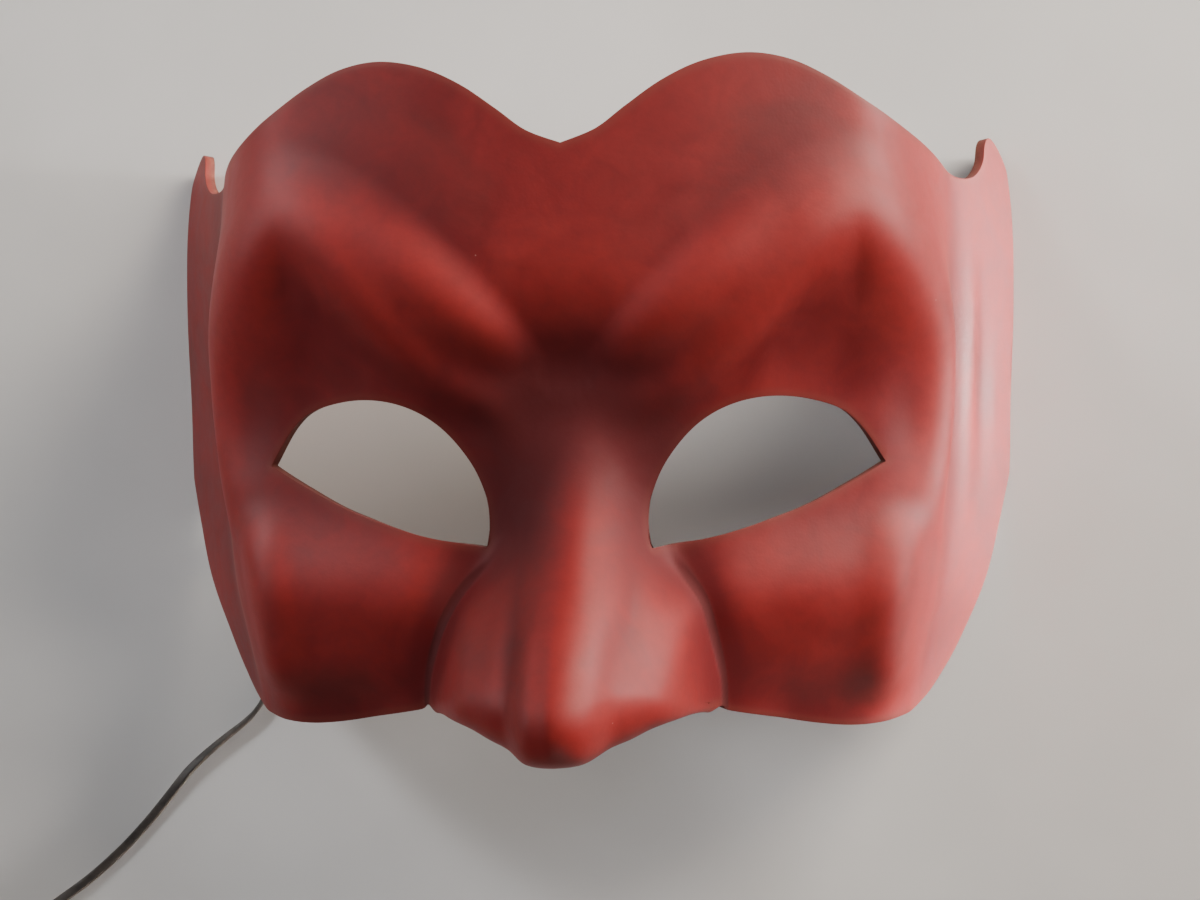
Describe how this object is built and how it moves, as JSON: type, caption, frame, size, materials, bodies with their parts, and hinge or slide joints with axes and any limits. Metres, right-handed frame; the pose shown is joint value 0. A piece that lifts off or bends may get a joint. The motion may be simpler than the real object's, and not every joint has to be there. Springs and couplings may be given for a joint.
{
  "type": "leather half mask",
  "caption": "Moulded leather half mask with a large hooked nose, arched scowling brows, open eye holes, side wings with ear points and a coiled tie lace.",
  "frame": {"origin": "on the plane that the back edges of the two side wings rest on, under the middle of the mask's box without the lace", "axes": "+X from the wearer's right to left, across the face, +Y up the forehead, +Z out of the face; the mask lies face up on the back edges of its wings"},
  "size_m": [0.2476, 0.2189, 0.0995],
  "materials": {
    "mask_leather": "satin",
    "patch_leather": "matt",
    "lace_leather": "matt",
    "tie_thread": "matt"
  },
  "bodies": {
    "root": {"mask_shell": "mask_leather", "lace_patch": "patch_leather", "lace_run": "lace_leather", "lace_coil": "lace_leather", "coil_tie": "tie_thread"}
  },
  "joints": []
}
